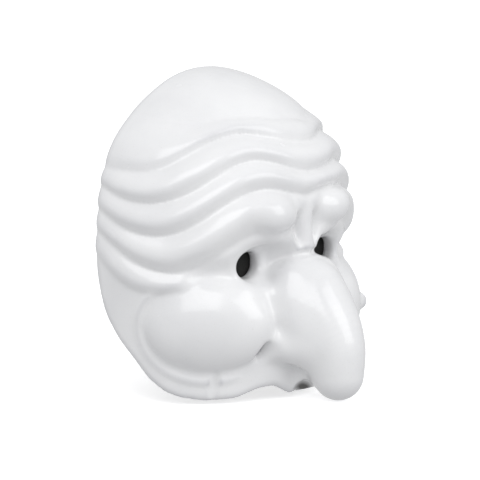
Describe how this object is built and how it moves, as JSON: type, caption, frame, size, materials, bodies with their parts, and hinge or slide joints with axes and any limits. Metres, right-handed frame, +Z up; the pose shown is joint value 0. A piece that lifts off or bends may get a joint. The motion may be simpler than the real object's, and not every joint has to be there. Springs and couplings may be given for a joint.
{
  "type": "carnival half mask",
  "caption": "Glossy white half mask with a wrinkled forehead, round cheeks and a long hooked nose, felt-lined and padded inside, black gauze behind the eyes, with a swinging ribbon ring at each temple.",
  "frame": {"origin": "eye level on the mask's middle plane, on the plane of the rear rim, where the wearer's temples come", "axes": "+X to the wearer's left, -Y the way the mask faces, +Z up"},
  "size_m": [0.1706, 0.1158, 0.1744],
  "materials": {
    "lacquered_shell": "white gesso under clear gloss lacquer",
    "felt": "black wool felt",
    "eye_gauze": "black cotton gauze",
    "pad_cloth": "black brushed jersey over foam",
    "tab_leather": "brown vegetable-tanned leather",
    "ring_metal": "nickel-plated steel wire",
    "rivet_metal": "nickel-plated steel"
  },
  "bodies": {
    "mask": {"mask_shell": "lacquered_shell", "left_eye_gauze": "eye_gauze", "right_eye_gauze": "eye_gauze", "left_lining": "felt", "right_lining": "felt", "brow_pad": "pad_cloth", "bridge_pad": "pad_cloth", "left_cheek_pad": "pad_cloth", "right_cheek_pad": "pad_cloth", "left_anchor_tab": "tab_leather", "right_anchor_tab": "tab_leather", "rivet_posts": "rivet_metal", "rivet_caps": "rivet_metal"},
    "left_ring": {"left_d_ring": "ring_metal"},
    "right_ring": {"right_d_ring": "ring_metal"}
  },
  "joints": [
    {"name": "left_ring_swing", "type": "hinge", "parent": "mask", "child": "left_ring", "pos_m": [0.075, -0.0105, 0.008], "axis": [0, 0, 1], "range_deg": [-10, 125]},
    {"name": "right_ring_swing", "type": "hinge", "parent": "mask", "child": "right_ring", "pos_m": [-0.075, -0.0105, 0.008], "axis": [0, 0, -1], "range_deg": [-10, 125]}
  ]
}
